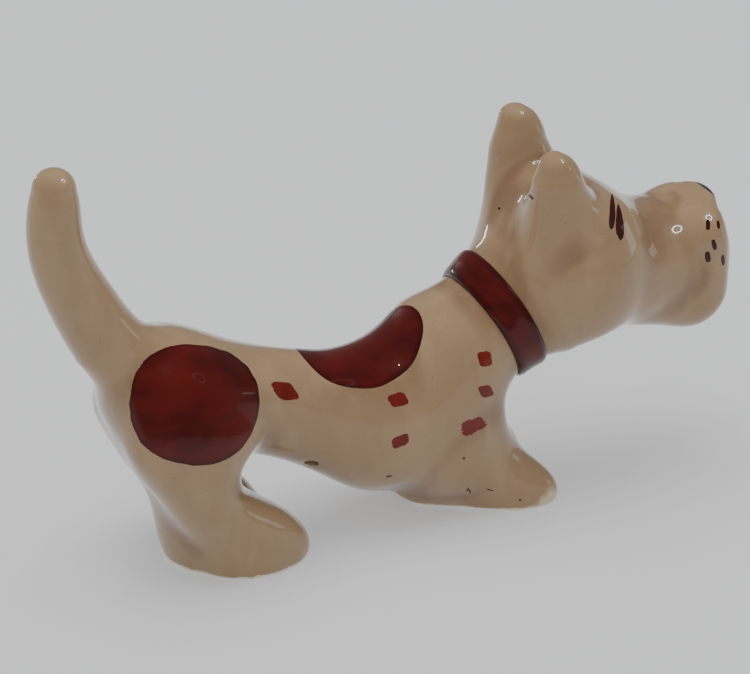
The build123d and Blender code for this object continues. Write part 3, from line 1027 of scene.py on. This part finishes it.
def add_mirrored_window(name, watts, size, way):
    """Area lamp that is seen only in the glaze."""
    lamp = add_lamp(name, watts, size, TARGET + way)
    lamp.visible_glossy = True
    lamp.visible_diffuse = False
    lamp.visible_camera = False


def ring_lamp(brightness):
    """Bright ring above the head, seen only in the glaze."""
    ring = bmesh.new()
    turned = RING_WAY.to_track_quat("Z", "Y").to_matrix().to_4x4()
    place = Matrix.Translation(HEAD * MM + RING_WAY) @ turned
    bmesh.ops.create_circle(ring, cap_ends=True, segments=64, radius=RING_RADIUS, matrix=place)
    bmesh.ops.inset_region(ring, faces=ring.faces[:], thickness=RING_BAND, use_boundary=True)
    inner = min(ring.faces, key=lambda f: -len(f.verts))
    bmesh.ops.delete(ring, geom=[inner], context="FACES")
    lamp = bpy.data.objects.new("ring_lamp", to_mesh(ring, "ring_lamp"))
    lamp.data.materials.append(plain_finish("ring_light", (1, 1, 1), 0.5, brightness))
    lamp.visible_camera = False
    lamp.visible_shadow = False
    lamp.visible_diffuse = False
    lit = bpy.data.collections.new("lit_by_ring")
    for name in RING_MIRRORED_IN:
        lit.objects.link(bpy.data.objects[name])
    lamp.light_linking.receiver_collection = lit
    return lamp


def pale_air(stage):
    """World light from all round, dimmed where the glaze mirrors it."""
    world = bpy.data.worlds.new("pale_air")
    world.use_nodes = True
    nodes, links = world.node_tree.nodes, world.node_tree.links
    air = nodes["Background"]
    air.inputs["Color"].default_value = AIR_TINT
    path = nodes.new("ShaderNodeLightPath")
    dim = nodes.new("ShaderNodeMapRange")
    dim.inputs["To Min"].default_value = stage.air
    dim.inputs["To Max"].default_value = stage.air_in_gloss
    links.new(path.outputs["Is Glossy Ray"], dim.inputs["Value"])
    links.new(dim.outputs["Result"], air.inputs["Strength"])
    return world


def build_camera():
    """Camera above and to the right rear of the figurine."""
    lens = bpy.data.cameras.new("camera")
    lens.sensor_width = SENSOR_WIDTH
    lens.lens = FOCAL_LENGTH
    lens.clip_end = 100.0
    camera = bpy.data.objects.new("camera", lens)
    camera.location = TARGET + CAMERA_WAY * CAMERA_DISTANCE
    camera.rotation_euler = (-CAMERA_WAY).to_track_quat("-Z", "Y").to_euler()
    return camera


def build_stage():
    """Pale floor, soft lamps, pale air and the camera."""
    scene = bpy.context.scene
    stage = scene.stage_settings
    ground = bmesh.new()
    bmesh.ops.create_grid(ground, x_segments=1, y_segments=1, size=FLOOR_HALF_SIZE)
    floor = bpy.data.objects.new("floor", to_mesh(ground, "floor"))
    floor.data.materials.append(plain_finish("pale_floor", stage.floor, 0.75, stage.floor_glow))
    scene.collection.objects.link(floor)
    lamp = ring_lamp(stage.ring)
    scene.collection.objects.link(lamp)
    add_lamp("overhead", stage.overhead, *OVERHEAD)
    add_lamp("window", stage.window, *WINDOW)
    add_lamp("spark", stage.spark, *SPARK).visible_glossy = True
    add_mirrored_window("far_window", stage.far_window, *FAR_WINDOW)
    add_mirrored_window("side_window", stage.side_window, *SIDE_WINDOW)
    scene.world = pale_air(stage)
    scene.camera = build_camera()
    scene.collection.objects.link(scene.camera)


# --- operators ------------------------------------------------------------------------------------
class MixFinishes(bpy.types.Operator):
    """Mixes the glaze and the paints"""
    bl_idname = "ceramic_dog.mix_finishes"
    bl_label = "Mix Glaze and Paints"

    def execute(self, context):
        paints = context.scene.paint_colours
        even = (1.0, 1.0, 1.0)
        shared["glaze"] = glazed_clay()
        for key, name, thin, thick, streak, rim in (
                ("red", "red_brown_paint", paints.red, paints.deep_red, (1.0, 1.0, 2.6), 0.5),
                ("bright", "bright_red_paint", paints.bright, paints.red, even, 0.4),
                ("line", "dark_line_paint", paints.line, paints.deep_red, even, 0.2),
                ("nose", "blue_black_paint", paints.nose, paints.deep_nose, (1.0, 2.0, 1.0), 0.3)):
            shared[key] = brushed_paint(name, thin, thick, streak, rim)
        return {"FINISHED"}


class ShapeClay(bpy.types.Operator):
    """Shapes the clay skin over all the castings"""
    bl_idname = "ceramic_dog.shape_clay"
    bl_label = "Shape Clay Skin"

    def execute(self, context):
        shared["skin"] = Skin(clay_skin())
        return {"FINISHED"}


class AddCastings(bpy.types.Operator):
    """Adds the torso, head, ears, tail and legs"""
    bl_idname = "ceramic_dog.add_castings"
    bl_label = "Add Castings"

    def execute(self, context):
        build_castings()
        return {"FINISHED"}


class AddPatches(bpy.types.Operator):
    """Adds the haunch patches and the spots"""
    bl_idname = "ceramic_dog.add_patches"
    bl_label = "Add Patches and Spots"

    def execute(self, context):
        build_patches()
        return {"FINISHED"}


class AddSaddle(bpy.types.Operator):
    """Adds the patch over the back"""
    bl_idname = "ceramic_dog.add_saddle"
    bl_label = "Add Patch over the Back"

    def execute(self, context):
        build_saddle()
        return {"FINISHED"}


class AddFace(bpy.types.Operator):
    """Adds the brows, eyes, whisker dots and nose"""
    bl_idname = "ceramic_dog.add_face"
    bl_label = "Add Face"

    def execute(self, context):
        build_face()
        return {"FINISHED"}


class AddFlecks(bpy.types.Operator):
    """Adds the stray flecks of paint"""
    bl_idname = "ceramic_dog.add_flecks"
    bl_label = "Add Flecks"

    def execute(self, context):
        build_flecks()
        return {"FINISHED"}


class AddCollar(bpy.types.Operator):
    """Adds the raised collar"""
    bl_idname = "ceramic_dog.add_collar"
    bl_label = "Add Collar"

    def execute(self, context):
        build_collar()
        return {"FINISHED"}


class SetStage(bpy.types.Operator):
    """Sets up the floor, the lamps and the camera"""
    bl_idname = "ceramic_dog.set_stage"
    bl_label = "Set Stage"

    def execute(self, context):
        build_stage()
        return {"FINISHED"}


OPERATORS = (
    MixFinishes, ShapeClay, AddCastings, AddPatches, AddSaddle, AddFace, AddFlecks, AddCollar, SetStage,
)
SETTINGS = {
    "clay_sizes": ClaySizes,
    "paint_sizes": PaintSizes,
    "glaze_colours": GlazeColours,
    "paint_colours": PaintColours,
    "stage_settings": StageSettings,
}


class CeramicDogPanel(bpy.types.Panel):
    """Sidebar panel of the ceramic dog"""
    bl_idname = "VIEW3D_PT_ceramic_dog"
    bl_label = "Ceramic Dog"
    bl_space_type = "VIEW_3D"
    bl_region_type = "UI"
    bl_category = "Ceramic Dog"

    def draw(self, context):
        for operator in OPERATORS:
            self.layout.operator(operator.bl_idname)
        for name in SETTINGS:
            box = self.layout.box()
            group = getattr(context.scene, name)
            for field in group.bl_rna.properties:
                if field.identifier not in ("rna_type", "name"):
                    box.prop(group, field.identifier)


def register():
    """Registers the settings, the operators and the panel."""
    for name, group in SETTINGS.items():
        bpy.utils.register_class(group)
        setattr(bpy.types.Scene, name, PointerProperty(type=group))
    for operator in OPERATORS:
        bpy.utils.register_class(operator)
    bpy.utils.register_class(CeramicDogPanel)


def unregister():
    """Takes everything off again."""
    bpy.utils.unregister_class(CeramicDogPanel)
    for operator in reversed(OPERATORS):
        bpy.utils.unregister_class(operator)
    for name, group in reversed(SETTINGS.items()):
        delattr(bpy.types.Scene, name)
        bpy.utils.unregister_class(group)


def main():
    """Builds everything in order."""
    register()
    bpy.ops.ceramic_dog.mix_finishes()
    bpy.ops.ceramic_dog.shape_clay()
    bpy.ops.ceramic_dog.add_castings()
    bpy.ops.ceramic_dog.add_patches()
    bpy.ops.ceramic_dog.add_saddle()
    bpy.ops.ceramic_dog.add_face()
    bpy.ops.ceramic_dog.add_flecks()
    bpy.ops.ceramic_dog.add_collar()
    bpy.ops.ceramic_dog.set_stage()


if __name__ == "__main__":
    main()
